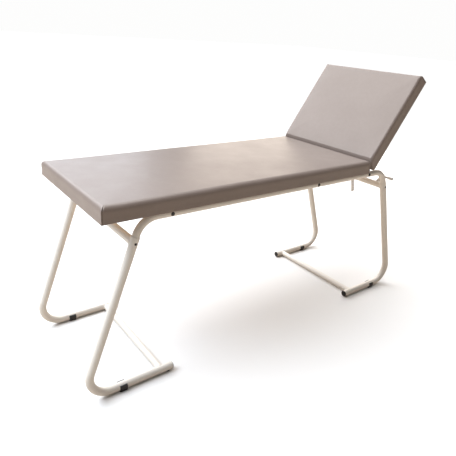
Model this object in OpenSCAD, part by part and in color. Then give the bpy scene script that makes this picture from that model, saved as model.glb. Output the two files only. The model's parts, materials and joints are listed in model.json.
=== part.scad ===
// Medical exam table: two padded sections on a bent-tube frame, with a backrest that tilts.
// Millimetres. +X runs from the foot end to the head end, -Y is the patient's left, Z is up.
// The origin is on the floor, below the centre of the footprint.

/* [Pads] */
// Width of both pads
pad_w = 600; // [500:5:700]
// Thickness of both pads
pad_t = 60; // [40:1:90]
// Height of the underside of the seat pad above the floor
pad_z = 704; // [600:1:800]
// Where the seat pad starts, at the foot end
seat_x0 = -820; // [-900:1:-700]
// Where the seat pad ends, at the hinge
seat_x1 = 522; // [400:1:560]
// Length of the backrest pad
back_l = 496; // [400:1:600]
// Radius along the upper edges of the pads
pad_edge_r = 18; // [4:1:28]
// Bevel on the lower front edge of the backrest
back_bevel = 32; // [5:1:50]
// Thickness of the plywood boards
board_t = 18; // [12:1:25]
// Thickness of the vinyl cover
cover_t = 1; // [0.8:0.1:2]
// How far the cover is folded under the board
fold_w = 38; // [20:1:60]
// Foam wrapped round the edge of the board
wrap_t = 3; // [1:0.5:8]

/* [Frame] */
// Distance of each side frame from the centre plane
side_y = 272; // [220:1:320]
// Outside diameter of the legs and runners
leg_d = 32; // [25:0.5:38]
// Outside diameter of the side rails
rail_d = 28; // [20:0.5:32]
// Wall of the tubes
tube_wall = 1.9; // [1.2:0.1:3]
// Lean of the legs from the vertical
lean = 20.2; // [10:0.1:30]
// Distance of each leg from the middle, measured at leg_ref_z
leg_ref_x = 700; // [600:1:800]
// Height at which leg_ref_x is measured
leg_ref_z = 600; // [400:1:700]
// Height of the runner centreline
runner_z = 18.5; // [16:0.5:30]
// Centreline radius of the bend between leg and runner
foot_bend_r = 80; // [50:1:120]
// Distance of the runner ends from the middle
runner_end_x = 538; // [450:1:650]
// Height of the side rail centreline
rail_z = 690; // [600:1:760]
// Centreline radius of the rail bends
rail_bend_r = 85; // [50:1:120]
// Height of the upper ends of the legs
leg_top_z = 628; // [580:1:640]
// Depth of each rail end inside its leg
insert_l = 45; // [25:1:60]
// Clearance between rail and leg bore, on the diameter
insert_gap = 0.3; // [0.1:0.05:1]
// Diameter of the upper cross tubes
upper_cross_d = 30; // [20:0.5:31]
// Height of the upper cross tubes
upper_cross_z = 608; // [560:1:640]
// Diameter of the lower cross tubes
lower_cross_d = 28; // [20:0.5:31]
// Distance of the lower cross tubes from the middle
lower_cross_x = 588; // [560:1:700]

/* [Feet] */
// Distance of the saddle glides from the middle
saddle_x = 755; // [650:1:790]
// Length of a saddle glide
saddle_l = 30; // [15:1:50]
// Wall of a saddle glide at its sides
saddle_wall = 3; // [2:0.5:5]
// Height of the open edges of a saddle glide
saddle_top_z = 29; // [20:1:32]
// Distance of the toe glides from the middle
toe_x = 556; // [545:1:570]
// Diameter of a toe glide
toe_d = 18; // [12:1:24]

/* [Bearers and bolts] */
// Position of the bearer at the foot end
bearer_foot_x = -553; // [-700:1:-400]
// Position of the middle bearer
bearer_mid_x = 189; // [0:1:400]
// Width of a bearer
bearer_w = 30; // [20:1:50]
// Height of a bearer
bearer_h = 28; // [20:1:40]
// Shank diameter of the rail bolts
bolt_d = 8; // [6:1:10]
// Head diameter of the rail bolts
bolt_head_d = 15; // [10:1:18]

/* [Backrest hinge] */
// Hinge axis along the table
hinge_x = 542; // [530:1:550]
// Hinge axis above the floor
hinge_z = 712; // [706:1:730]
// Where the backrest pad starts when it lies flat
back_x0 = 550; // [545:1:560]
// Angle of the backrest above flat, as modelled
back_angle = 55; // [0:1:65]
// Diameter of the hinge pins
pin_d = 8; // [6:0.5:10]
// Radial clearance of a pin in the part that turns on it
pin_gap = 0.05; // [0.01:0.01:0.1]
// Thickness of the hinge plates and brackets
plate_t = 5; // [3:0.5:8]
// Radius of the eyes around the hinge pins
eye_r = 7.5; // [6:0.1:7.7]
// Side clearance between plates that move past each other
side_gap = 0.5; // [0.3:0.1:1]
// Length of the hinge arms under the backrest
arm_l = 178; // [80:1:300]

/* [Backrest stay] */
// Distance of the stay pin, and of the clamp rod, from the hinge axis
stay_r = 216; // [180:1:260]
// Direction of the stay pin from the hinge when the backrest lies flat
stay_flat_a = -7.45; // [-12:0.05:-4]
// Direction of the clamp rod from the hinge
clamp_a = -19; // [-30:0.5:-12]
// Centre of the stay across the table
stay_y = -30; // [-120:1:120]
// Width of the stay bar
stay_w = 20; // [16:1:30]
// Thickness of the stay bar
stay_t = 5; // [3:0.5:8]
// Length of the stay bar below its pin
stay_l = 390; // [320:1:420]
// First centre of the slot, from the pin
slot_from = 36; // [30:1:42]
// Last centre of the slot, from the pin
slot_to = 280; // [270:1:360]
// Width of the slot
slot_w = 10.8; // [10.6:0.1:12]

/* [Release rod] */
// Diameter of the release rod
rod_d = 10; // [8:0.5:12]
// Position of the outer end of the release cap
cap_end_y = -290; // [-330:1:-260]
// Length of the release cap
cap_l = 28; // [15:1:40]
// Diameter of the release cap
cap_d = 15; // [12:0.5:20]
// Diameter of the clamp head
clamp_d = 22; // [18:1:30]
// Position of the guide plate near the side
guide_y = -230; // [-250:1:-150]
// Length of the spring as fitted
spring_l = 40; // [25:1:60]
// Wire diameter of the spring
wire_d = 1.8; // [1:0.1:3]

/* [Hidden] */
$fn = 96;
eps = 1;
// Distance that keeps a bend and the straight tube after it two clean solids
part_line = 0.001;
// Each leg runs down the line through leg_ref_x at leg_ref_z.
function leg_x(z) = leg_ref_x + (leg_ref_z - z) * tan(lean);
foot_turn = 90 + lean;
foot_tan = foot_bend_r * tan(foot_turn / 2);
foot_cx = round(100 * (leg_x(runner_z) - foot_tan)) / 100;
foot_cz = runner_z + foot_bend_r;
leg_low_x = foot_cx + foot_bend_r * cos(lean);
leg_low_z = foot_cz + foot_bend_r * sin(lean);
leg_straight = (leg_top_z - leg_low_z) / cos(lean);
rail_turn = 90 - lean;
rail_tan = rail_bend_r * tan(rail_turn / 2);
rail_half = round(100 * (leg_x(rail_z) - rail_tan)) / 100;
rail_cz = rail_z - rail_bend_r;
rail_end_z = rail_cz + rail_bend_r * sin(lean);
rail_tail = (rail_end_z - leg_top_z) / cos(lean) + insert_l;
leg_bore = rail_d + insert_gap;
upper_cross_x = leg_x(upper_cross_z);
screw_z = leg_top_z - 21;
lug_bolt_x = hinge_x + 2.5;
lug_y = side_y - rail_d / 2 - plate_t;
arm_y = lug_y - side_gap - plate_t;
clamp_x = hinge_x + stay_r * cos(clamp_a);
clamp_z = hinge_z + stay_r * sin(clamp_a);
stay_x0 = hinge_x + stay_r * cos(stay_flat_a);
stay_z0 = hinge_z + stay_r * sin(stay_flat_a);
stay_a = stay_flat_a + back_angle;
stay_px = hinge_x + stay_r * cos(stay_a);
stay_pz = hinge_z + stay_r * sin(stay_a);
stay_turn = atan2(stay_px - clamp_x, stay_pz - clamp_z);
latch_y = stay_y - stay_t / 2 - side_gap - plate_t;
head_y = stay_y + stay_t / 2 + 0.3;

cream = [0.93, 0.91, 0.85];
zinc = [0.72, 0.73, 0.75];
black = [0.06, 0.06, 0.06];
vinyl = [0.55, 0.49, 0.45];
ply = [0.76, 0.60, 0.40];
foam = [0.93, 0.88, 0.68];
white = [0.93, 0.93, 0.92];

// ---- tools ----

// Ring section of a tube.
module ring(od, id) { difference() { circle(d = od); circle(d = id); } }

// Round bar along Y from y0 to y1, centred on x, z.
module bar_y(x, z, d, y0, y1) {
  translate([x, y1, z]) rotate([90, 0, 0]) cylinder(h = y1 - y0, d = d);
}

// Flat plate in the XZ plane from y0, t thick, cut to the 2D shape given as children.
module plate_y(y0, t) {
  translate([0, y0 + t, 0]) rotate([90, 0, 0]) linear_extrude(height = t) children();
}

// 2D bar of width w from p to q.
module bar2d(p, q, w) {
  l = norm(q - p);
  translate(p) rotate([0, 0, atan2(q[1] - p[1], q[0] - p[0])])
    translate([0, -w / 2]) square([l, w]);
}

// Most parts are drawn for the patient's left at the head end, and mirrored for the others.
module mirror_y() { mirror([0, 1, 0]) children(); }
module mirror_x() { mirror([1, 0, 0]) children(); }

// Turns what is drawn for the flat backrest up to its angle.
module raised() {
  translate([hinge_x, 0, hinge_z]) rotate([0, -back_angle, 0])
    translate([-hinge_x, 0, -hinge_z]) children();
}

// ---- legs ----

// Bend of the given turn from (r, 0) heading +Y, with straight tubes before and after it.
module bent_tube(od, id, r, turn, before, after) {
  if (before > 0) translate([r, 0, 0]) rotate([90, 0, 0])
    linear_extrude(height = before) ring(od, id);
  rotate_extrude(angle = turn) translate([r, 0]) ring(od, id);
  rotate([0, 0, turn]) translate([r, part_line, 0]) rotate([-90, 0, 0])
    linear_extrude(height = after) ring(od, id);
}

// Runner, bend and leg in one tube, for the head end at y = 0.
module leg_body() {
  translate([foot_cx, 0, foot_cz]) rotate([90, 0, 0]) rotate([0, 0, -90])
    bent_tube(leg_d, leg_bore, foot_bend_r, foot_turn, foot_cx - runner_end_x, leg_straight);
}

// Leg of the left side at the head end, with the hole for its screw.
module left_leg() {
  difference() {
    translate([0, -side_y, 0]) leg_body();
    bar_y(leg_x(screw_z), screw_z, 5.4, -side_y - leg_d, -side_y);
  }
}

module head_leg_left() { color(cream) left_leg(); }
module head_leg_right() { color(cream) mirror_y() left_leg(); }
module foot_leg_left() { color(cream) mirror_x() left_leg(); }
module foot_leg_right() { color(cream) mirror_x() mirror_y() left_leg(); }

// ---- side rails ----

// Straight rail with both ends bent down into the legs, at y = 0.
module rail_body(bore) {
  translate([-rail_half, 0, rail_z]) rotate([0, 90, 0])
    linear_extrude(height = 2 * rail_half) ring(rail_d, bore);
  for (s = [0, 1]) mirror([s, 0, 0])
    translate([rail_half, 0, rail_cz]) rotate([90, 0, 0]) rotate([0, 0, 90]) mirror([0, 1, 0])
      bent_tube(rail_d, bore, rail_bend_r, rail_turn, 0, rail_tail);
}

module left_rail() {
  difference() {
    translate([0, -side_y, 0]) rail_body(rail_d - 2 * tube_wall);
    for (x = [bearer_foot_x, bearer_mid_x, lug_bolt_x])
      bar_y(x, rail_z, bolt_d + 0.4, -side_y - rail_d, -side_y + rail_d);
    for (s = [-1, 1])
      bar_y(s * leg_x(screw_z), screw_z, 5.4, -side_y - rail_d, -side_y);
  }
}

module side_rail_left() { color(cream) left_rail(); }
module side_rail_right() { color(cream) mirror_y() left_rail(); }

// ---- cross tubes ----

// Cross tube between the two legs of the head end, its ends coped to fit them.
module upper_cross() {
  difference() {
    bar_y(upper_cross_x, upper_cross_z, upper_cross_d, -side_y, side_y);
    bar_y(upper_cross_x, upper_cross_z, upper_cross_d - 2 * tube_wall,
      -side_y - eps, side_y + eps);
    for (s = [-1, 1])
      translate([upper_cross_x, s * side_y, upper_cross_z]) rotate([0, -lean, 0])
        cylinder(h = 120, d = leg_d, center = true);
  }
}

module lower_cross() {
  difference() {
    bar_y(lower_cross_x, runner_z, lower_cross_d, -side_y, side_y);
    bar_y(lower_cross_x, runner_z, lower_cross_d - 2 * tube_wall,
      -side_y - eps, side_y + eps);
    for (s = [-1, 1])
      translate([lower_cross_x, s * side_y, runner_z]) rotate([0, 90, 0])
        cylinder(h = 120, d = leg_d, center = true);
  }
}

module head_upper_cross_tube() { color(cream) upper_cross(); }
module foot_upper_cross_tube() { color(cream) mirror_x() upper_cross(); }
module head_lower_cross_tube() { color(cream) lower_cross(); }
module foot_lower_cross_tube() { color(cream) mirror_x() lower_cross(); }

// ---- feet ----

// Round plug in the end of a runner, with a slightly domed face.
module left_plug() {
  translate([runner_end_x, -side_y, runner_z]) rotate([0, 90, 0]) {
    translate([0, 0, -2.4]) cylinder(h = 2.4, d1 = leg_d - 5, d2 = leg_d);
    difference() {
      cylinder(h = 16, d = leg_bore - 0.2);
      translate([0, 0, 3]) cylinder(h = 20, d = leg_bore - 5);
    }
  }
}

// U-shaped glide pressed over the runner from below.
module left_saddle() {
  translate([saddle_x - saddle_l / 2, -side_y, 0]) rotate([90, 0, 90])
    linear_extrude(height = saddle_l) difference() {
      union() {
        translate([0, runner_z]) circle(d = leg_d + 2 * saddle_wall);
        translate([-leg_d / 2 + 2, 0]) square([leg_d - 4, runner_z]);
      }
      translate([0, runner_z]) circle(d = leg_d + 0.1);
      translate([-leg_d, -leg_d]) square([2 * leg_d, leg_d]);
      translate([-leg_d, saddle_top_z]) square([2 * leg_d, leg_d]);
    }
}

// Button glide under the end of a runner.
module left_toe() {
  difference() {
    translate([toe_x, -side_y, 0]) {
      cylinder(h = 1, d1 = toe_d - 2, d2 = toe_d);
      translate([0, 0, 1]) cylinder(h = 5.5, d = toe_d);
    }
    translate([toe_x - toe_d, -side_y, runner_z]) rotate([0, 90, 0])
      cylinder(h = 2 * toe_d, d = leg_d + 0.1);
  }
}

module head_plug_left() { color(black) left_plug(); }
module head_plug_right() { color(black) mirror_y() left_plug(); }
module foot_plug_left() { color(black) mirror_x() left_plug(); }
module foot_plug_right() { color(black) mirror_x() mirror_y() left_plug(); }
module head_saddle_left() { color(black) left_saddle(); }
module head_saddle_right() { color(black) mirror_y() left_saddle(); }
module foot_saddle_left() { color(black) mirror_x() left_saddle(); }
module foot_saddle_right() { color(black) mirror_x() mirror_y() left_saddle(); }
module head_toe_left() { color(black) left_toe(); }
module head_toe_right() { color(black) mirror_y() left_toe(); }
module foot_toe_left() { color(black) mirror_x() left_toe(); }
module foot_toe_right() { color(black) mirror_x() mirror_y() left_toe(); }

// ---- fasteners of the frame ----

// Dome with radius r and height h, on the XY plane.
module dome(r, h) {
  ball = (r * r + h * h) / (2 * h);
  difference() {
    translate([0, 0, h - ball]) sphere(r = ball);
    translate([0, 0, -2 * ball]) cube([4 * ball, 4 * ball, 4 * ball], center = true);
  }
}

// Round head on a tube: a dome with a skirt that is cut to the tube, the children.
module tube_head(r, h, skirt, seat) {
  difference() {
    union() {
      dome(r, h);
      translate([0, 0, -skirt]) cylinder(h = skirt + 0.1, r = r);
    }
    translate([0, 0, -seat]) children();
    translate([0, 0, h / 2]) cylinder(h = h, d = r, $fn = 6);
  }
}

// Screw through the leg and the rail inside it, its head outwards.
module left_leg_screw() {
  y0 = -side_y - leg_d / 2;
  translate([leg_x(screw_z), y0, screw_z]) rotate([90, 0, 0]) {
    tube_head(4.8, 2.6, 1, leg_d / 2)
      rotate([0, 0, lean]) rotate([90, 0, 0]) cylinder(h = 40, d = leg_d + 0.02, center = true);
    translate([0, 0, -6.6]) cylinder(h = 7.2, d = 5);
  }
}

module leg_screws() {
  color(black) for (i = [0, 1], j = [0, 1])
    mirror([i, 0, 0]) mirror([0, j, 0]) left_leg_screw();
}

// Bolt from the outer face of the rail, its shank reaching to y1.
module left_bolt(x, y1) {
  y0 = -side_y - rail_d / 2;
  translate([x, y0, rail_z]) rotate([90, 0, 0]) {
    tube_head(bolt_head_d / 2, 3.4, 2.6, rail_d / 2)
      rotate([0, 90, 0]) cylinder(h = 40, d = rail_d + 0.02, center = true);
    translate([0, 0, y0 - y1]) cylinder(h = y1 - y0 + 1.2, d = bolt_d);
  }
}

bearer_bolt_y = -side_y + rail_d / 2 + 14;
module foot_bolt_left() { color(black) left_bolt(bearer_foot_x, bearer_bolt_y); }
module foot_bolt_right() { color(black) mirror_y() left_bolt(bearer_foot_x, bearer_bolt_y); }
module mid_bolt_left() { color(black) left_bolt(bearer_mid_x, bearer_bolt_y); }
module mid_bolt_right() { color(black) mirror_y() left_bolt(bearer_mid_x, bearer_bolt_y); }
module hinge_bolt_left() { color(black) left_bolt(lug_bolt_x, -lug_y); }
module hinge_bolt_right() { color(black) mirror_y() left_bolt(lug_bolt_x, -lug_y); }

// ---- bearers ----

// Box section between the rails, closed at both ends by a tapped block.
module bearer(x) {
  half = side_y - rail_d / 2 - 0.2;
  w = tube_wall;
  difference() {
    translate([x - bearer_w / 2, -half, pad_z - bearer_h]) cube([bearer_w, 2 * half, bearer_h]);
    translate([x - bearer_w / 2 + w, -half + 16, pad_z - bearer_h + w])
      cube([bearer_w - 2 * w, 2 * half - 32, bearer_h - 2 * w]);
    for (s = [-1, 1])
      bar_y(x, rail_z, bolt_d + 0.1, min(s * half, s * (half - 17)) - eps,
        max(s * half, s * (half - 17)) + eps);
    for (s = [-1, 1])
      translate([x, s * 160, pad_z - bearer_h - eps]) cylinder(h = bearer_h + 2 * eps, d = 5.4);
  }
}

module foot_bearer() { color(cream) bearer(bearer_foot_x); }
module mid_bearer() { color(cream) bearer(bearer_mid_x); }

// ---- hinge, frame side ----

// Plate that carries the hinge pin, held on the inside of the rail by its bolt.
module left_lug() {
  plate_y(-lug_y - plate_t, plate_t) difference() {
    union() {
      translate([hinge_x, hinge_z]) circle(r = eye_r);
      bar2d([hinge_x, hinge_z], [hinge_x, rail_z], 2 * eye_r);
      translate([lug_bolt_x, rail_z]) circle(r = 13);
    }
    translate([hinge_x, hinge_z]) circle(d = pin_d);
    translate([lug_bolt_x, rail_z]) circle(d = bolt_d + 0.1);
  }
}

// Pin with a head at each end.
module left_pin() {
  inner = arm_y - 0.3;
  bar_y(hinge_x, hinge_z, pin_d, -lug_y - plate_t, -inner);
  bar_y(hinge_x, hinge_z, 12, -inner, -inner + 2);
  bar_y(hinge_x, hinge_z, 12, -lug_y - plate_t - 2, -lug_y - plate_t);
}

module hinge_lug_left() { color(cream) left_lug(); }
module hinge_lug_right() { color(cream) mirror_y() left_lug(); }
module hinge_pin_left() { color(zinc) left_pin(); }
module hinge_pin_right() { color(zinc) mirror_y() left_pin(); }

// ---- clamp brackets on the head cross tube ----

module rod_plate(y0) {
  a = [upper_cross_x, upper_cross_z];
  b = [clamp_x, clamp_z];
  plate_y(y0, plate_t) difference() {
    union() {
      bar2d(a, b, 26);
      translate(b) circle(d = 26);
    }
    translate(a) circle(d = upper_cross_d);
    translate(b) circle(d = rod_d + 2 * pin_gap);
  }
}

module latch_plate() { color(cream) rod_plate(latch_y); }
module guide_plate() { color(cream) rod_plate(guide_y); }

// ---- pads ----

// Pad block from x0 to x1, shrunk by s on every side, with round upper edges.
// The upper edge at x0 is cut back by bevel along both faces when bevel is above 0.
module pad_block(x0, x1, s, z0, bevel) {
  r = pad_edge_r - s;
  xa = x0 + s;
  xb = x1 - s;
  hw = pad_w / 2 - s;
  z1 = pad_z + pad_t - s;
  intersection() {
    plate_y(-pad_w / 2, pad_w) difference() {
      translate([xa, z0]) square([xb - xa, z1 - z0]);
      corner_cut(xb, z1, r, 1);
      if (bevel == 0) corner_cut(xa, z1, r, -1);
      if (bevel > 0) polygon([[xa - eps, z1 - bevel - eps], [xa - eps, z1 + eps],
        [xa + bevel + eps, z1 + eps]]);
    }
    translate([x0 - eps, 0, 0]) rotate([90, 0, 90])
      linear_extrude(height = x1 - x0 + 2 * eps) difference() {
        translate([-hw, z0]) square([2 * hw, z1 - z0]);
        corner_cut(hw, z1, r, 1);
        corner_cut(-hw, z1, r, -1);
      }
  }
}

// What is left outside a round corner of radius r at x, z; dir is the way it points.
module corner_cut(x, z, r, dir) {
  difference() {
    translate([dir > 0 ? x - r : x - eps, z - r]) square([r + eps, r + eps]);
    translate([x - dir * r, z - r]) circle(r = r);
  }
}

module pad_board(x0, x1) {
  edge = cover_t + wrap_t;
  translate([x0 + edge, -pad_w / 2 + edge, pad_z + cover_t])
    cube([x1 - x0 - 2 * edge, pad_w - 2 * edge, board_t]);
}

// Foam over the board and round its edge.
module pad_foam(x0, x1, bevel) {
  difference() {
    pad_block(x0, x1, cover_t, pad_z + cover_t, bevel);
    pad_board(x0, x1);
    translate([x0 + cover_t + wrap_t, -pad_w / 2 + cover_t + wrap_t, pad_z])
      cube([x1 - x0 - 2 * (cover_t + wrap_t), pad_w - 2 * (cover_t + wrap_t), board_t]);
  }
}

// Cover around foam and board, open below except for the folded edge.
module pad_cover(x0, x1, bevel) {
  difference() {
    pad_block(x0, x1, 0, pad_z, bevel);
    pad_block(x0, x1, cover_t, pad_z + cover_t, bevel);
    translate([x0 + fold_w, -pad_w / 2 + fold_w, pad_z - eps])
      cube([x1 - x0 - 2 * fold_w, pad_w - 2 * fold_w, 3 * eps]);
  }
}

module seat_board() { color(ply) pad_board(seat_x0, seat_x1); }
module seat_foam() { color(foam) pad_foam(seat_x0, seat_x1, 0); }
module seat_cover() { color(vinyl) pad_cover(seat_x0, seat_x1, 0); }

back_x1 = back_x0 + back_l;
module back_board() { color(ply) raised() pad_board(back_x0, back_x1); }
module back_foam() { color(foam) raised() pad_foam(back_x0, back_x1, back_bevel); }
module back_cover() { color(vinyl) raised() pad_cover(back_x0, back_x1, back_bevel); }

// Pan-head screw pointing up, the underside of its head at z.
module screw_up(x, y, z, l) {
  translate([x, y, z]) {
    rotate([180, 0, 0]) dome(4.6, 2.6);
    translate([0, 0, -0.5]) cylinder(h = l + 0.5, d = 5);
  }
}

// Screws up through the bearers, ending against the seat board.
module seat_screws() {
  color(zinc) for (x = [bearer_foot_x, bearer_mid_x], s = [-1, 1])
    screw_up(x, s * 160, pad_z - bearer_h, bearer_h + cover_t);
}

// ---- backrest fittings, drawn flat and turned up ----

arm_flange_w = 34;
// Arm with an eye on the pin and a flange screwed under the board.
module left_arm() {
  plate_y(-arm_y - plate_t, plate_t) difference() {
    union() {
      translate([hinge_x, hinge_z]) circle(r = eye_r);
      bar2d([hinge_x, hinge_z], [hinge_x, pad_z - 16], 2 * eye_r);
      translate([hinge_x - eye_r, pad_z - 16]) square([arm_l, 15.7]);
    }
    translate([hinge_x, hinge_z]) circle(r = pin_d / 2 + pin_gap);
  }
  difference() {
    translate([back_x0 + 16, -arm_y - eps, pad_z - 3.3])
      cube([arm_l - 30, arm_flange_w, 3]);
    for (x = arm_screw_x) translate([x, -arm_y + 18, pad_z - 9]) cylinder(h = 12, d = 5.4);
  }
}
arm_screw_x = [back_x0 + 52, back_x0 + 130];

module hinge_arm_left() { color(cream) raised() left_arm(); }
module hinge_arm_right() { color(cream) raised() mirror_y() left_arm(); }

// Bracket with two ears around the top of the stay.
module stay_bracket() {
  color(cream) raised() difference() {
    union() {
      translate([stay_x0 - 30, stay_y - 30, pad_z - 3.3]) cube([60, 60, 3]);
      for (y = [latch_y, stay_y + stay_t / 2 + side_gap])
        plate_y(y, plate_t) {
          translate([stay_x0, stay_z0]) circle(r = 11);
          translate([stay_x0 - 11, stay_z0]) square([22, pad_z - 1 - stay_z0]);
        }
    }
    bar_y(stay_x0, stay_z0, pin_d, stay_y - 40, stay_y + 40);
    for (sx = [-1, 1], sy = [-1, 1])
      translate([stay_x0 + sx * 22, stay_y + sy * 22, pad_z - 9]) cylinder(h = 12, d = 5.4);
  }
}

module stay_pin() {
  y0 = latch_y;
  y1 = stay_y + stay_t / 2 + side_gap + plate_t;
  color(zinc) raised() {
    bar_y(stay_x0, stay_z0, pin_d, y0, y1);
    bar_y(stay_x0, stay_z0, 12, y0 - 2, y0);
    bar_y(stay_x0, stay_z0, 12, y1, y1 + 2);
  }
}

module back_screws() {
  color(zinc) raised() {
    for (x = arm_screw_x, s = [-1, 1])
      screw_up(x, s * (arm_y - 18), pad_z - 3.3, 4.3);
    for (sx = [-1, 1], sy = [-1, 1])
      screw_up(stay_x0 + sx * 22, stay_y + sy * 22, pad_z - 3.3, 4.3);
  }
}

// ---- stay ----

// Slotted flat bar hanging from the bracket and passing over the clamp rod.
module stay_bar() {
  color(zinc) translate([stay_px, 0, stay_pz]) rotate([0, stay_turn, 0])
    plate_y(stay_y - stay_t / 2, stay_t) difference() {
      union() {
        translate([-stay_w / 2, -stay_l]) square([stay_w, stay_l]);
        circle(d = stay_w);
      }
      circle(r = pin_d / 2 + pin_gap);
      translate([-slot_w / 2, -slot_to]) square([slot_w, slot_to - slot_from]);
      translate([0, -slot_from]) circle(d = slot_w);
      translate([0, -slot_to]) circle(d = slot_w);
    }
}

// ---- release rod ----

collar_y = latch_y - spring_l;
module release_rod() {
  color(zinc) bar_y(clamp_x, clamp_z, rod_d, cap_end_y + 6, head_y + 6);
}

// Cap on the outer end of the rod, with a round tip.
module release_cap() {
  color(white) difference() {
    union() {
      bar_y(clamp_x, clamp_z, cap_d, cap_end_y + 3, cap_end_y + cap_l);
      translate([clamp_x, cap_end_y + 3, clamp_z]) rotate([90, 0, 0]) dome(cap_d / 2, 3);
    }
    bar_y(clamp_x, clamp_z, rod_d, cap_end_y + 6, cap_end_y + cap_l + eps);
  }
}

// Head that presses the stay against the latch plate.
module clamp_head() {
  color(zinc) difference() {
    union() {
      bar_y(clamp_x, clamp_z, clamp_d, head_y, head_y + 4);
      bar_y(clamp_x, clamp_z, clamp_d - 6, head_y + 4, head_y + 9);
    }
    bar_y(clamp_x, clamp_z, rod_d, head_y - eps, head_y + 6);
  }
}

module spring_collar() {
  color(zinc) difference() {
    bar_y(clamp_x, clamp_z, 18, collar_y - 5, collar_y);
    bar_y(clamp_x, clamp_z, rod_d, collar_y - 6, collar_y + 1);
  }
}

// Compression spring between the collar and the latch plate. Its outline is the slice that a
// plane across the axis cuts from round wire, so twisting it along the axis gives the coil.
module release_spring() {
  turns = 6;
  r = 7.2;
  length = spring_l - 0.6;
  slope = length / turns / (2 * PI * r);
  slice = [for (t = [0:36:324]) let (a = wire_d / 2 * sin(t) / (r * slope) * 180 / PI,
    q = r + wire_d / 2 * cos(t)) [q * cos(a), q * sin(a)]];
  color(zinc) translate([clamp_x, latch_y - 0.3, clamp_z]) rotate([90, 0, 0])
    linear_extrude(height = length, twist = 360 * turns, slices = turns * 14, $fn = 10)
      polygon(slice);
}

foot_leg_left();
foot_leg_right();
head_leg_left();
head_leg_right();
side_rail_left();
side_rail_right();
foot_upper_cross_tube();
head_upper_cross_tube();
foot_lower_cross_tube();
head_lower_cross_tube();
foot_plug_left();
foot_plug_right();
head_plug_left();
head_plug_right();
foot_saddle_left();
foot_saddle_right();
head_saddle_left();
head_saddle_right();
foot_toe_left();
foot_toe_right();
head_toe_left();
head_toe_right();
leg_screws();
foot_bearer();
mid_bearer();
foot_bolt_left();
foot_bolt_right();
mid_bolt_left();
mid_bolt_right();
hinge_bolt_left();
hinge_bolt_right();
hinge_lug_left();
hinge_lug_right();
hinge_pin_left();
hinge_pin_right();
latch_plate();
guide_plate();
seat_board();
seat_foam();
seat_cover();
seat_screws();
back_board();
back_foam();
back_cover();
hinge_arm_left();
hinge_arm_right();
back_screws();
stay_bracket();
stay_pin();
stay_bar();
release_rod();
release_cap();
clamp_head();
spring_collar();
release_spring();
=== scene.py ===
"""Medical exam table: two vinyl pads on a cream tube frame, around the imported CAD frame."""

import json
import math
import random

import bmesh
import bpy
from mathutils import Matrix, Vector, noise


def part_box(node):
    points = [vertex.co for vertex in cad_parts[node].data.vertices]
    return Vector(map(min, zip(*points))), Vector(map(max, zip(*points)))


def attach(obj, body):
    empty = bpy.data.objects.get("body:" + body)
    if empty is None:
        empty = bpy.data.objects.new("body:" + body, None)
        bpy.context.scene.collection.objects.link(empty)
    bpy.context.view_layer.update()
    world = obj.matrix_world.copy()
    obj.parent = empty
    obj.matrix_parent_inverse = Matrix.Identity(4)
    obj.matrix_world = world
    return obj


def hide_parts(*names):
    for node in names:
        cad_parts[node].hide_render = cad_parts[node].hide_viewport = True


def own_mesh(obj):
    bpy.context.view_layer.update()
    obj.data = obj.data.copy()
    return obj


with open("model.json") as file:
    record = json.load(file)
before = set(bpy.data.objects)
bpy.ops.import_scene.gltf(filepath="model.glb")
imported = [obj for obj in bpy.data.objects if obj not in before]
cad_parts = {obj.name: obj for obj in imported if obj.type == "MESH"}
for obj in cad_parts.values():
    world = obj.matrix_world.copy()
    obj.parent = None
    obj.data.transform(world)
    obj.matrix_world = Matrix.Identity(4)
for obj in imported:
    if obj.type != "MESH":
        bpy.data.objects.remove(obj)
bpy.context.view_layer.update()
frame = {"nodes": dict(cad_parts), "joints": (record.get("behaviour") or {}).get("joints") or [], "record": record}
SCENE = bpy.context.scene
NODES = frame["nodes"]


# ---- camera and light ----

# The camera that took the photograph, found from the straight edges of the pads and tubes.
CAMERA_PLACE = (-1.3288, -1.5738, 1.2923)
CAMERA_RIGHT = Vector((0.79822, -0.59884, 0.06507))
CAMERA_FORWARD = Vector((0.57181, 0.71932, -0.39447))
CAMERA_LENS = 36.469
CAMERA_SENSOR = 36.0

SUN_STRENGTH = 3.95
SUN_SPREAD = math.radians(75)
SUN_AHEAD = Vector((0.20, -0.45, -1.0))
# Each area light's name, place, target, size, watts and colour.
AREA_LIGHTS = (
    ("foot_window", (-2.3, 0.6, 2.3), (-0.75, 0.0, 0.72), (1.8, 1.8), 48, (0.70, 0.84, 1.0)),
    ("side_window", (-0.1, 3.3, 2.0), (-0.5, 0.0, 0.75), (2.6, 1.9), 29, (0.86, 0.91, 1.0)),
    ("back_wall", (3.2, 2.4, 1.5), (0.2, 0.0, 0.7), (3.4, 2.4), 54, (1.0, 0.89, 0.78)),
)
FILL_COLOUR = (1.0, 0.95, 0.90)
FILL_STRENGTH = 0.10
BACKDROP_COLOUR = (0.985, 0.985, 0.98)


def make_camera():
    data = bpy.data.cameras.new("camera")
    data.sensor_width = CAMERA_SENSOR
    data.lens = CAMERA_LENS
    camera = bpy.data.objects.new("camera", data)
    right = CAMERA_RIGHT.normalized()
    forward = CAMERA_FORWARD.normalized()
    up = right.cross(forward).normalized()
    turn = Matrix((right, up, -forward)).transposed().to_4x4()
    camera.matrix_world = Matrix.Translation(CAMERA_PLACE) @ turn
    SCENE.collection.objects.link(camera)
    SCENE.camera = camera


def make_sun():
    data = bpy.data.lights.new("sky_soft", "SUN")
    data.energy = SUN_STRENGTH
    data.angle = SUN_SPREAD
    sun = bpy.data.objects.new("sky_soft", data)
    sun.rotation_euler = SUN_AHEAD.to_track_quat("-Z", "Y").to_euler()
    SCENE.collection.objects.link(sun)


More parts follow.
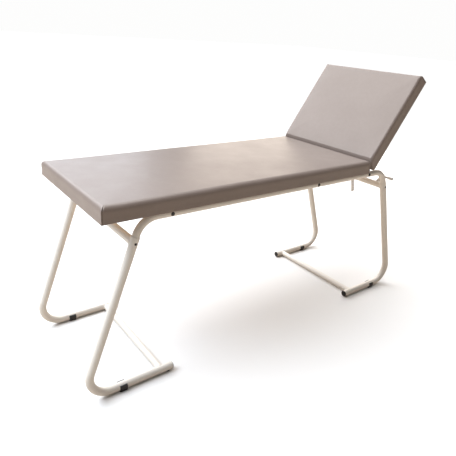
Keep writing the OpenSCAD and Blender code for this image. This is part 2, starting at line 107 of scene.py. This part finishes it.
def make_area_light(name, place, target, size, power, colour):
    data = bpy.data.lights.new(name, "AREA")
    data.shape = "RECTANGLE"
    data.size, data.size_y = size
    data.energy = power
    data.color = colour
    light = bpy.data.objects.new(name, data)
    light.location = place
    light.rotation_euler = (Vector(target) - Vector(place)).to_track_quat("-Z", "Y").to_euler()
    SCENE.collection.objects.link(light)


def add_background(tree, colour, strength):
    node = tree.nodes.new("ShaderNodeBackground")
    node.inputs["Color"].default_value = (*colour, 1)
    node.inputs["Strength"].default_value = strength
    return node.outputs["Background"]


def make_world():
    """Nearly white as a backdrop, and a faint warm light for everything else."""
    world = bpy.data.worlds.new("studio")
    SCENE.world = world
    world.use_nodes = True
    tree = world.node_tree
    tree.nodes.clear()
    out = tree.nodes.new("ShaderNodeOutputWorld")
    mix = tree.nodes.new("ShaderNodeMixShader")
    path = tree.nodes.new("ShaderNodeLightPath")
    tree.links.new(path.outputs["Is Camera Ray"], mix.inputs["Fac"])
    tree.links.new(add_background(tree, FILL_COLOUR, FILL_STRENGTH), mix.inputs[1])
    tree.links.new(add_background(tree, BACKDROP_COLOUR, 1.0), mix.inputs[2])
    tree.links.new(mix.outputs["Shader"], out.inputs["Surface"])


def make_lights():
    make_sun()
    for light in AREA_LIGHTS:
        make_area_light(*light)
    make_world()
    SCENE.view_settings.view_transform = "Standard"


# ---- materials ----

# The span that nearly all values of a noise texture fall in.
NOISE_LOW, NOISE_HIGH = 0.3, 0.7


class Shader:
    """A material's node tree with a Principled shader and short ways to add to it."""

    def __init__(self, name, colour, roughness, metallic=0.0):
        self.material = bpy.data.materials.new(name)
        self.material.use_nodes = True
        self.tree = self.material.node_tree
        self.principled = self.tree.nodes["Principled BSDF"]
        self.set("Base Color", (*colour, 1))
        self.set("Roughness", roughness)
        self.set("Metallic", metallic)
        self.place = self.add("ShaderNodeTexCoord").outputs["Object"]
        self.normal = None

    def set(self, socket, value):
        self.principled.inputs[socket].default_value = value

    def add(self, kind, **settings):
        node = self.tree.nodes.new(kind)
        for key, value in settings.items():
            if key in node.inputs:
                node.inputs[key].default_value = value
            else:
                setattr(node, key, value)
        return node

    def link(self, start, end):
        self.tree.links.new(start, end)

    def noise(self, scale, detail=4.0, roughness=0.55, stretch=None):
        node = self.add("ShaderNodeTexNoise", Scale=scale, Detail=detail, Roughness=roughness)
        place = self.place
        if stretch:
            mapping = self.add("ShaderNodeMapping")
            mapping.inputs["Scale"].default_value = stretch
            self.link(place, mapping.inputs["Vector"])
            place = mapping.outputs["Vector"]
        self.link(place, node.inputs["Vector"])
        return node.outputs["Fac"]

    def ramp(self, value, low, high, first, last):
        node = self.add("ShaderNodeValToRGB")
        node.color_ramp.elements[0].position = low
        node.color_ramp.elements[1].position = high
        node.color_ramp.elements[0].color = (*first, 1)
        node.color_ramp.elements[1].color = (*last, 1)
        self.link(value, node.inputs["Fac"])
        return node.outputs["Color"]

    def span(self, value, low, high):
        """value, a noise, spread over low..high."""
        node = self.add("ShaderNodeMapRange")
        node.inputs["From Min"].default_value = NOISE_LOW
        node.inputs["From Max"].default_value = NOISE_HIGH
        node.inputs["To Min"].default_value = low
        node.inputs["To Max"].default_value = high
        self.link(value, node.inputs["Value"])
        return node.outputs["Result"]

    def mix(self, factor, first, second):
        node = self.add("ShaderNodeMix", data_type="RGBA")
        for socket, value in ((node.inputs[6], first), (node.inputs[7], second)):
            if isinstance(value, tuple):
                socket.default_value = (*value, 1)
            else:
                self.link(value, socket)
        self.link(factor, node.inputs[0])
        return node.outputs[2]

    def bump(self, value, distance, strength=1.0):
        node = self.add("ShaderNodeBump", Distance=distance, Strength=strength)
        self.link(value, node.inputs["Height"])
        if self.normal is not None:
            self.link(self.normal, node.inputs["Normal"])
        self.normal = node.outputs["Normal"]
        self.link(self.normal, self.principled.inputs["Normal"])

    def round_edges(self, radius):
        """Shades sharp edges as if slightly rounded. The next bump carries it to the shader."""
        self.normal = self.add("ShaderNodeBevel", Radius=radius).outputs["Normal"]

    def edges(self, low=0.52, high=0.6):
        """White where the surface turns sharply outwards."""
        node = self.add("ShaderNodeNewGeometry")
        return self.ramp(node.outputs["Pointiness"], low, high, (0, 0, 0), (1, 1, 1))


def vinyl_material():
    s = Shader("vinyl_greige", (0.268, 0.21, 0.181), 0.42)
    broad = s.noise(3.0, 3.0)
    fine = s.noise(60.0, 3.0)
    tone = s.ramp(broad, 0.3, 0.7, (0.256, 0.199, 0.171), (0.279, 0.220, 0.191))
    speck = s.mix(s.span(fine, 0.0, 0.35), tone, (0.232, 0.179, 0.154))
    worn = s.mix(s.edges(0.54, 0.66), speck, (0.34, 0.285, 0.255))
    s.link(worn, s.principled.inputs["Base Color"])
    s.link(s.span(s.noise(9.0, 5.0), 0.34, 0.47), s.principled.inputs["Roughness"])
    grain = s.add("ShaderNodeTexVoronoi", Scale=620.0, feature="SMOOTH_F1")
    s.link(s.place, grain.inputs["Vector"])
    s.bump(grain.outputs["Distance"], 0.00035, 0.35)
    s.bump(s.noise(260.0, 4.0), 0.0003, 0.3)
    s.bump(s.noise(14.0, 2.0), 0.0015, 0.35)
    s.set("Specular IOR Level", 0.5)
    s.set("Sheen Weight", 0.08)
    s.set("Sheen Roughness", 0.5)
    s.set("Coat Weight", 0.3)
    s.set("Coat Roughness", 0.3)
    return s.material


def paint_material():
    s = Shader("cream_powder_coat", (0.82, 0.775, 0.70), 0.34)
    tone = s.ramp(s.noise(5.0, 3.0), 0.3, 0.7, (0.87, 0.82, 0.75), (0.91, 0.865, 0.80))
    worn = s.mix(s.edges(0.56, 0.68), tone, (0.92, 0.885, 0.82))
    scuff = s.ramp(s.noise(38.0, 6.0, 0.7), 0.68, 0.76, (0, 0, 0), (0.35, 0.35, 0.35))
    s.link(s.mix(scuff, worn, (0.66, 0.61, 0.54)), s.principled.inputs["Base Color"])
    s.link(s.span(s.noise(22.0, 5.0), 0.27, 0.40), s.principled.inputs["Roughness"])
    s.round_edges(0.0012)
    s.bump(s.noise(420.0, 3.0), 0.00016, 0.35)
    s.bump(s.noise(110.0, 2.0), 0.0002, 0.25)
    s.set("Coat Weight", 0.25)
    s.set("Coat Roughness", 0.18)
    return s.material


def smooth_material(name, dark, light, roughness):
    """Plastic or blackened steel, a little paler along its edges."""
    s = Shader(name, dark, roughness)
    tone = s.ramp(s.noise(30.0, 4.0), 0.35, 0.7, dark, light)
    s.link(s.mix(s.edges(), tone, tuple(min(1.0, c * 1.4 + 0.01) for c in light)),
           s.principled.inputs["Base Color"])
    s.link(s.span(s.noise(80.0, 4.0), roughness - 0.07, roughness + 0.09),
           s.principled.inputs["Roughness"])
    s.round_edges(0.0006)
    s.bump(s.noise(700.0, 3.0), 0.0001, 0.4)
    return s.material


def zinc_material():
    s = Shader("zinc_steel", (0.62, 0.63, 0.65), 0.3, 1.0)
    tone = s.ramp(s.noise(90.0, 6.0), 0.35, 0.65, (0.52, 0.53, 0.55), (0.72, 0.72, 0.71))
    s.link(tone, s.principled.inputs["Base Color"])
    s.link(s.span(s.noise(160.0, 5.0, 0.6, (1.0, 0.08, 1.0)), 0.22, 0.42),
           s.principled.inputs["Roughness"])
    s.round_edges(0.0008)
    s.bump(s.noise(500.0, 3.0, 0.6, (1.0, 0.06, 1.0)), 0.00008, 0.4)
    return s.material


def plywood_material():
    s = Shader("birch_plywood", (0.62, 0.45, 0.27), 0.62)
    wave = s.add("ShaderNodeTexWave", Scale=7.0, Distortion=9.0, Detail=3.0)
    wave.bands_direction = "Y"
    mapping = s.add("ShaderNodeMapping")
    mapping.inputs["Scale"].default_value = (0.35, 3.0, 1.0)
    s.link(s.place, mapping.inputs["Vector"])
    s.link(mapping.outputs["Vector"], wave.inputs["Vector"])
    grain = s.ramp(wave.outputs["Fac"], 0.1, 0.9, (0.63, 0.46, 0.285), (0.575, 0.41, 0.245))
    pores = s.noise(180.0, 4.0, 0.6, (0.06, 1.0, 1.0))
    s.link(s.mix(s.span(pores, 0.0, 0.45), grain, (0.42, 0.28, 0.15)),
           s.principled.inputs["Base Color"])
    s.link(s.span(pores, 0.55, 0.72), s.principled.inputs["Roughness"])
    s.bump(pores, 0.0003, 0.5)
    return s.material


def foam_material():
    s = Shader("pale_foam", (0.80, 0.72, 0.48), 0.9)
    s.link(s.ramp(s.noise(200.0, 4.0), 0.3, 0.7, (0.74, 0.66, 0.42), (0.86, 0.78, 0.55)),
           s.principled.inputs["Base Color"])
    s.bump(s.noise(350.0, 3.0), 0.0006, 0.7)
    return s.material


def floor_material():
    """Pale floor that reflects less light than it shows, so the table's sides keep their shade."""
    s = Shader("pale_floor", (0.95, 0.95, 0.95), 0.6)
    s.link(s.ramp(s.noise(1.2, 2.0), 0.3, 0.7, (0.945, 0.945, 0.945), (0.955, 0.955, 0.955)),
           s.principled.inputs["Base Color"])
    dull = s.add("ShaderNodeBsdfDiffuse")
    dull.inputs["Color"].default_value = (0.60, 0.52, 0.445, 1)
    mix = s.add("ShaderNodeMixShader")
    s.link(s.add("ShaderNodeLightPath").outputs["Is Camera Ray"], mix.inputs[0])
    s.link(dull.outputs["BSDF"], mix.inputs[1])
    s.link(s.principled.outputs["BSDF"], mix.inputs[2])
    s.link(mix.outputs["Shader"], s.tree.nodes["Material Output"].inputs["Surface"])
    return s.material


BY_SLOT = {
    "vinyl": vinyl_material(),
    "cream_paint": paint_material(),
    "foam": foam_material(),
    "plywood": plywood_material(),
    "zinc_steel": zinc_material(),
    "dark_steel": smooth_material(
        "dark_steel", (0.018, 0.018, 0.02), (0.05, 0.05, 0.053), 0.36),
    "black_plastic": smooth_material(
        "black_plastic", (0.009, 0.009, 0.010), (0.018, 0.018, 0.019), 0.55),
    "white_plastic": smooth_material(
        "white_plastic", (0.78, 0.78, 0.76), (0.86, 0.86, 0.84), 0.3),
}


def paint_cad_nodes():
    for part in frame["record"]["subparts"]:
        mesh = NODES[part["node"]].data
        mesh.materials.clear()
        mesh.materials.append(BY_SLOT[part["material_slot"]])


# ---- shared mesh tools ----

def mesh_object(name, bm, material, body=None):
    """Object from bm. One without a body yet gets its body later, or is only staging."""
    bmesh.ops.recalc_face_normals(bm, faces=bm.faces)
    mesh = bpy.data.meshes.new(name)
    bm.to_mesh(mesh)
    bm.free()
    mesh.shade_smooth()
    mesh.materials.append(material)
    obj = bpy.data.objects.new(name, mesh)
    SCENE.collection.objects.link(obj)
    if body:
        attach(obj, body)
    return obj


def apply_modifiers(obj):
    """Bakes the modifiers of obj into its mesh."""
    graph = bpy.context.evaluated_depsgraph_get()
    mesh = bpy.data.meshes.new_from_object(obj.evaluated_get(graph))
    old = obj.data
    obj.modifiers.clear()
    obj.data = mesh
    mesh.name = obj.name
    bpy.data.meshes.remove(old)


# ---- pads ----

# The hinge and the raised angle come from the CAD. The backrest is built flat, then turned up.
TILT = next(j for j in frame["joints"] if j["name"] == "backrest_tilt")
HINGE = Vector(TILT["pos_m"])
RAISED = math.radians(-TILT["range_deg"][0])
RAISE = (Matrix.Translation(HINGE) @ Matrix.Rotation(-RAISED, 4, "Y")
         @ Matrix.Translation(-HINGE))
SEAT_LOW, SEAT_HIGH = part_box("seat_cover")
BACK_START = HINGE.x + 0.008
BACK_LENGTH = 0.496
BACK_LOW = Vector((BACK_START, SEAT_LOW.y, SEAT_LOW.z))
BACK_HIGH = Vector((BACK_START + BACK_LENGTH, SEAT_HIGH.y, SEAT_HIGH.z))
# How far each pad keeps back from the other one.
END_GAP = Vector((0.0008, 0, 0))
# Radii of the upper edges at the start, the end and the sides, and the flatness at the start.
SEAT_EDGES = (0.018, 0.016, 0.021)
BACK_EDGES = (0.033, 0.014, 0.012, 1.6)
# Near an end, a side takes on the radius of that end over this length.
BLEND_LENGTH = 0.045

# Mesh columns beside each corner, and how far each stands out or in where the vinyl is folded.
CORNER_COLUMNS = (0.0, 0.0030, 0.0046, 0.0060, 0.010, 0.018)
GROOVE = {1: 0.0004, 2: -0.0052, 3: 0.0009, 4: 0.0004}
NOTCH_COLUMN = 2
NOTCH_DROP = 0.0055
COLUMN_STEP = 0.013
ARC_STEPS = 6
# Mesh rows on the sides, as shares of the way down.
SIDE_ROWS = (0.25, 0.5, 0.75, 0.93, 1.0)

# The vinyl's fold under the board. Each row has its inset and its height above the fold.
FOLD_W = 0.038
FOLD_T = 0.00168
FOLD_ROWS = ((0.0012, 0), (0.012, 0), (FOLD_W - 0.001, 0), (FOLD_W, 0.0003),
             (FOLD_W + 0.0005, FOLD_T))
FOLD_WAVE = 0.004
STRAIGHT_INSET = 0.02
BOARD_INSET = FOLD_W + 0.006

# Cloth pass: frames it runs for, height of the held strip, and the most it may move the vinyl.
CLOTH_FRAMES = 20
HELD_HEIGHT = 0.012
PAD_SWELL = 0.0040
# Where and how far the vinyl is drawn in over the board, and how uneven the foam under it is.
WAIST_HEIGHT = 0.021
WAIST_SPREAD = 0.008
WAIST_DEPTH = 0.0010
UNEVENNESS = 0.0008


def columns(length):
    """Places of the mesh columns along an edge: close together at both corners, even between."""
    start = CORNER_COLUMNS[-1]
    count = max(2, round((length - 2 * start) / COLUMN_STEP))
    middle = [start + (length - 2 * start) * i / count for i in range(1, count)]
    return [*CORNER_COLUMNS, *middle, *(length - c for c in reversed(CORNER_COLUMNS))]


class Pad:
    """Mesh of one pad: a top grid, loops down its rounded edge and sides, and the fold below."""

    def __init__(self, low, high, start_r, end_r, side_r, flatness=1.0):
        """flatness above 1 turns the round edge at the start into a bevel with soft corners."""
        self.low, self.high = low, high
        self.start_r, self.end_r, self.side_r = start_r, end_r, side_r
        self.flatness = flatness
        self.length, self.width = high.x - low.x, high.y - low.y
        self.xs, self.ys = columns(self.length), columns(self.width)
        self.bm = bmesh.new()
        self.grooves = []

    def spot(self, i, j, start, end, side, z):
        """Column i, j with the outline pulled in by start, end and side, at height z."""
        x = self.low.x + start + self.xs[i] * (self.length - start - end) / self.length
        y = self.low.y + side + self.ys[j] * (self.width - 2 * side) / self.width
        return Vector((x, y, z))

    def edge(self):
        """Columns round the outline, in order."""
        nx, ny = len(self.xs) - 1, len(self.ys) - 1
        round_trip = [(i, 0) for i in range(nx)] + [(nx, j) for j in range(ny)]
        return round_trip + [(i, ny) for i in range(nx, 0, -1)] + [(0, j) for j in range(ny, 0, -1)]

    def grid(self, start, end, side, z):
        return [[self.bm.verts.new(self.spot(i, j, start, end, side, z))
                 for j in range(len(self.ys))] for i in range(len(self.xs))]

    def fill(self, grid, upward):
        for a, b in zip(grid, grid[1:]):
            for j in range(len(a) - 1):
                face = (a[j], b[j], b[j + 1], a[j + 1])
                self.bm.faces.new(face if upward else tuple(reversed(face)))

    def drop(self, i, turn=math.pi / 2):
        """How far the edge has come down at column i after turn: the sides' arc, fading into the
        arc of the nearest end."""
        start = max(0.0, 1 - self.xs[i] / BLEND_LENGTH) ** 2
        end = max(0.0, 1 - (self.length - self.xs[i]) / BLEND_LENGTH) ** 2
        arc = 1 - math.cos(turn)
        bevel = 1 - max(0.0, math.cos(turn)) ** self.flatness
        return (self.side_r * arc * (1 - start - end) + self.start_r * bevel * start
                + self.end_r * arc * end)

    def arc_rings(self, around):
        """Loops down the rounded upper edge."""
        rings = []
        for step in range(1, ARC_STEPS + 1):
            turn = math.pi / 2 * step / ARC_STEPS
            pull = 1 - math.sin(turn)
            start = self.start_r * (1 - math.sin(turn) ** self.flatness)
            ring = [self.bm.verts.new(self.spot(i, j, start, self.end_r * pull,
                                                self.side_r * pull,
                                                self.high.z - self.drop(i, turn)))
                    for i, j in around]
            self.note_groove(around, ring, 0.35 + 0.65 * math.sin(turn),
                             step == ARC_STEPS // 2 + 1)
            rings.append(ring)
        return rings

    def side_rings(self, around):
        """Loops from the rounded edge down to the underside."""
        bottom = self.low.z
        rings = []
        for share in SIDE_ROWS:
            ring = []
            for i, j in around:
                wall = self.high.z - self.drop(i) - bottom
                ring.append(self.bm.verts.new(self.spot(i, j, 0, 0, 0,
                                                        bottom + wall * (1 - share))))
            if share < 1:
                self.note_groove(around, ring, 1.0, False)
            rings.append(ring)
        return rings

    def fold_rings(self, around):
        """Loops of the fold under the board, with a wavy inner edge."""
        bottom = self.low.z
        rings = []
        for inset, rise in FOLD_ROWS:
            ring = []
            for i, j in around:
                pull = inset
                if inset > STRAIGHT_INSET:
                    place = Vector((self.xs[i] * 26, self.ys[j] * 26, bottom))
                    pull += FOLD_WAVE * noise.noise(place)
                ring.append(self.bm.verts.new(self.spot(i, j, pull, pull, pull, bottom + rise)))
            rings.append(ring)
        return rings

    def build(self):
        around = self.edge()
        upper = self.grid(self.start_r, self.end_r, self.side_r, self.high.z)
        self.fill(upper, True)
        rings = [[upper[i][j] for i, j in around], *self.arc_rings(around),
                 *self.side_rings(around), *self.fold_rings(around)]
        under = self.grid(BOARD_INSET, BOARD_INSET, BOARD_INSET, self.low.z + FOLD_T)
        self.fill(under, False)
        rings.append([under[i][j] for i, j in around])
        for a, b in zip(rings, rings[1:]):
            for k in range(len(around)):
                n = (k + 1) % len(around)
                self.bm.faces.new((a[k], b[k], b[n], a[n]))

    def note_groove(self, around, ring, depth, notch):
        """Keeps how far each vertex of the folded corners moves once the vinyl is tight."""
        last = len(self.xs) - 1
        for (i, j), vertex in zip(around, ring):
            if j not in (0, len(self.ys) - 1):
                continue
            column = min(i, last - i)
            if column in GROOVE:
                outward = -1 if j == 0 else 1
                move = Vector((0, outward * GROOVE[column] * depth, 0))
                if notch and column == NOTCH_COLUMN:
                    move.z = -NOTCH_DROP
                self.grooves.append((vertex, move))


def inflate(obj, low):
    """Cloth pass: the vinyl swells a little over its block, with its stapled edge held."""
    rest = [v.co.copy() for v in obj.data.vertices]
    held = obj.vertex_groups.new(name="held")
    held.add([i for i, p in enumerate(rest) if p.z < low.z + HELD_HEIGHT], 1.0, "REPLACE")
    cloth = obj.modifiers.new("cloth", "CLOTH")
    s = cloth.settings
    s.quality = 5
    s.mass = 0.3
    s.tension_stiffness = 20
    s.compression_stiffness = 20
    s.shear_stiffness = 6
    s.bending_stiffness = 1.0
    s.use_pressure = True
    s.uniform_pressure_force = 4.0
    s.effector_weights.gravity = 0.0
    s.vertex_group_mass = "held"
    cloth.collision_settings.use_collision = False
    for step in range(1, CLOTH_FRAMES + 1):
        SCENE.frame_set(step)
    graph = bpy.context.evaluated_depsgraph_get()
    tight = obj.evaluated_get(graph)
    moved = [v.co.copy() for v in tight.to_mesh().vertices]
    tight.to_mesh_clear()
    obj.modifiers.clear()
    obj.vertex_groups.clear()
    SCENE.frame_set(1)
    most = max((end - start).length for start, end in zip(rest, moved))
    print("cloth moved", round(most * 1000, 2), "mm at most on", obj.name)
    for vertex, start, end in zip(obj.data.vertices, rest, moved):
        step = end - start
        vertex.co = start + step * (min(1.0, PAD_SWELL / most) if most > 0 else 0.0)


def slacken(obj, low, high):
    """Slight unevenness of foam under vinyl, and a waist where it is drawn over the board."""
    centre = (low + high) / 2
    half = (high - low) / 2
    for v in obj.data.vertices:
        height = (v.co.z - low.z) / (high.z - low.z)
        if height < 0.02:
            continue
        ripple = noise.noise(Vector((v.co.x * 6, v.co.y * 6, v.co.z * 12)))
        v.co.z += UNEVENNESS * ripple * height
        waist = math.exp(-((v.co.z - low.z - WAIST_HEIGHT) / WAIST_SPREAD) ** 2)
        dent = noise.noise(Vector((v.co.x * 13, v.co.y * 13, 3.0)))
        pull = WAIST_DEPTH * waist + UNEVENNESS * dent
        for axis in (0, 1):
            offset = v.co[axis] - centre[axis]
            if abs(offset) > half[axis] - 0.004:
                v.co[axis] -= math.copysign(pull * min(1.0, height * 6), offset)


def make_pad(name, low, high, edges, body, nodes):
    pad = Pad(low, high, *edges)
    pad.build()
    pad.bm.verts.index_update()
    grooves = [(vertex.index, move) for vertex, move in pad.grooves]
    obj = mesh_object(name, pad.bm, BY_SLOT["vinyl"])
    inflate(obj, low)
    slacken(obj, low, high)
    for index, move in grooves:
        obj.data.vertices[index].co += move
    fine = obj.modifiers.new("fine", "SUBSURF")
    fine.levels = fine.render_levels = 1
    apply_modifiers(obj)
    obj.data.shade_smooth()
    if body == "backrest":
        obj.data.transform(RAISE)
    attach(obj, body)
    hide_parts(*nodes)


# ---- small metal pieces ----

# The legs lean by LEAN, and their centrelines lie SIDE_Y from the middle plane.
LEAN = math.radians(20.2)
SIDE_Y = 0.272
LEG_R = 0.016
CROSS_R = {"upper": 0.0150, "lower": 0.0140}
# Weld beads: their radii, how uneven they are, and the steps and the arc they are drawn with.
BEAD_R = 0.0021
PLATE_BEAD_R = 0.0017
BEAD_RIPPLE = 0.16
BEAD_STEPS = 72
PLATE_ARC = [math.radians(-22 + 3.2 * n) for n in range(36)]
# Staples: distance from the pad's edge, spacing, wire, and the outline of one staple.
STAPLE_INSET = 0.024
STAPLE_STEP = 0.052
STAPLE_WIRE = 0.00035
STAPLE_DEPTH = 0.0003
STAPLE_OUTLINE = ((-0.0052, 0.0016), (-0.0052, 0.0004), (-0.0046, 0.0),
                  (0.0046, 0.0), (0.0052, 0.0004), (0.0052, 0.0016))
# No staples where the rails run under the pads, as ranges along X and Y.
OVER_RAILS = [(-0.74, 0.74, side * SIDE_Y - 0.018, side * SIDE_Y + 0.018) for side in (-1, 1)]
# Spring: radius of its wire, all its turns, and the flat turns at each end, which lie wire on wire.
SPRING_WIRE = 0.0009
SPRING_TURNS = 8.0
FLAT_TURNS = 0.9
FLAT_PITCH = SPRING_WIRE * 2.1
TURN_STEPS = 28


def tube_along(bm, path, radius, sides=8, closed=False, ripple=0.0):
    """Round bar of the given radius along path. ripple swells and narrows it like a weld bead."""
    count = len(path)
    rings = []
    for k, point in enumerate(path):
        after = path[(k + 1) % count] if closed or k < count - 1 else point
        before = path[k - 1] if closed or k > 0 else point
        ahead = (after - before).normalized()
        across = ahead.orthogonal().normalized() if k == 0 else rings[-1][1]
        across = (across - ahead * across.dot(ahead)).normalized()
        side = ahead.cross(across)
        size = radius * (1 + ripple * math.sin(k * 2.4))
        ring = [bm.verts.new(point + across * (size * math.cos(t)) + side * (size * math.sin(t)))
                for t in (2 * math.pi * n / sides for n in range(sides))]
        rings.append((ring, across))
    loops = [ring for ring, _ in rings]
    pairs = list(zip(loops, loops[1:]))
    if closed:
        pairs.append((loops[-1], loops[0]))
    for a, b in pairs:
        for n in range(sides):
            m = (n + 1) % sides
            bm.faces.new((a[n], a[m], b[m], b[n]))
    if not closed:
        bm.faces.new(list(reversed(loops[0])))
        bm.faces.new(loops[-1])

def bead_path(x, z, tube_r, lean, side):
    """Line where a cross tube along Y meets a leg that leans by lean, centred on x, z."""
    path = []
    for n in range(BEAD_STEPS):
        turn = 2 * math.pi * n / BEAD_STEPS
        dx, dz = tube_r * math.cos(turn), tube_r * math.sin(turn)
        off = dx * math.cos(lean) + dz * math.sin(lean)
        y = SIDE_Y - math.sqrt(LEG_R ** 2 - off ** 2)
        path.append(Vector((x + dx, side * y, z + dz)))
    return path


def make_weld_beads():
    """Beads at the ends of the cross tubes, on the legs above and on the runners below."""
    for end, sign in (("foot", -1), ("head", 1)):
        for level, radius in CROSS_R.items():
            low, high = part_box(f"{end}_{level}_cross_tube")
            x, z = abs(low.x + high.x) / 2, (low.z + high.z) / 2
            lean = LEAN if level == "upper" else math.pi / 2
            bm = bmesh.new()
            for side in (-1, 1):
                path = [Vector((sign * p.x, p.y, p.z))
                        for p in bead_path(x, z, radius, lean, side)]
                tube_along(bm, path, BEAD_R, closed=True, ripple=BEAD_RIPPLE)
            mesh_object(f"{end}_{level}_weld", bm, BY_SLOT["cream_paint"], "frame")


def make_plate_welds():
    """Beads on both faces of the plates that carry the release rod."""
    low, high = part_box("head_upper_cross_tube")
    x, z = (low.x + high.x) / 2, (low.z + high.z) / 2
    radius = CROSS_R["upper"]
    bm = bmesh.new()
    for plate in ("latch_plate", "guide_plate"):
        near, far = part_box(plate)
        for y in (near.y, far.y):
            path = [Vector((x + radius * math.cos(t), y, z + radius * math.sin(t)))
                    for t in PLATE_ARC]
            tube_along(bm, path, PLATE_BEAD_R, ripple=BEAD_RIPPLE)
    mesh_object("plate_welds", bm, BY_SLOT["cream_paint"], "frame")


def staple_places(low, high):
    """Place and turn of each staple along the four edges of a pad."""
    places = []
    count = round((high.x - low.x) / STAPLE_STEP)
    for n in range(1, count):
        x = low.x + (high.x - low.x) * n / count
        places += [(x, low.y + STAPLE_INSET, 0.0), (x, high.y - STAPLE_INSET, 0.0)]
    count = round((high.y - low.y) / STAPLE_STEP)
    for n in range(1, count):
        y = low.y + (high.y - low.y) * n / count
        places += [(low.x + STAPLE_INSET, y, math.pi / 2), (high.x - STAPLE_INSET, y, math.pi / 2)]
    return places


def make_staples(name, low, high, body):
    """Staples that hold the vinyl's fold under a board, left out where a rail runs under them."""
    draw = random.Random(7)
    bm = bmesh.new()
    for x, y, turn in staple_places(low, high):
        x += draw.uniform(-0.003, 0.003)
        y += draw.uniform(-0.002, 0.002)
        turn += draw.uniform(-0.12, 0.12)
        if any(a <= x <= b and c <= y <= d for a, b, c, d in OVER_RAILS):
            continue
        ahead = Vector((math.cos(turn), math.sin(turn), 0))
        middle = Vector((x, y, low.z - STAPLE_DEPTH))
        path = [middle + ahead * along + Vector((0, 0, up)) for along, up in STAPLE_OUTLINE]
        tube_along(bm, path, STAPLE_WIRE, sides=6)
    if body == "backrest":
        bm.transform(RAISE)
    mesh_object(name, bm, BY_SLOT["zinc_steel"], body)


def make_spring():
    """Round-wire coil on the release rod, with flat end turns."""
    low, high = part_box("release_spring")
    middle = (low + high) / 2
    radius = (high.z - low.z) / 2 - SPRING_WIRE
    flat_rise = FLAT_TURNS * FLAT_PITCH
    live_rise = high.y - low.y - 2 * SPRING_WIRE - 2 * flat_rise
    last_flat = SPRING_TURNS - FLAT_TURNS
    path = []
    for n in range(int(SPRING_TURNS * TURN_STEPS) + 1):
        t = n / TURN_STEPS
        if t < FLAT_TURNS:
            rise = flat_rise * t / FLAT_TURNS
        elif t > last_flat:
            rise = flat_rise + live_rise + flat_rise * (t - last_flat) / FLAT_TURNS
        else:
            rise = flat_rise + live_rise * (t - FLAT_TURNS) / (last_flat - FLAT_TURNS)
        turn = 2 * math.pi * t
        path.append(Vector((middle.x + radius * math.cos(turn), low.y + SPRING_WIRE + rise,
                            middle.z + radius * math.sin(turn))))
    bm = bmesh.new()
    tube_along(bm, path, SPRING_WIRE)
    coil = mesh_object("release_coil", bm, BY_SLOT["zinc_steel"], "frame")
    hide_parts("release_spring")
    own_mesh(coil)


# ---- floor ----

FLOOR_SIZE = 40.0


def make_floor():
    bm = bmesh.new()
    bmesh.ops.create_grid(bm, x_segments=8, y_segments=8, size=FLOOR_SIZE)
    floor = mesh_object("floor", bm, floor_material())


# ---- run ----

make_camera()
make_lights()
paint_cad_nodes()
make_pad("seat_pad", SEAT_LOW, SEAT_HIGH - END_GAP, SEAT_EDGES, "frame",
         ("seat_cover", "seat_foam"))
make_pad("back_pad", BACK_LOW + END_GAP, BACK_HIGH, BACK_EDGES, "backrest",
         ("back_cover", "back_foam"))
make_weld_beads()
make_plate_welds()
make_staples("seat_staples", SEAT_LOW, SEAT_HIGH, "frame")
make_staples("back_staples", BACK_LOW, BACK_HIGH, "backrest")
make_spring()
make_floor()
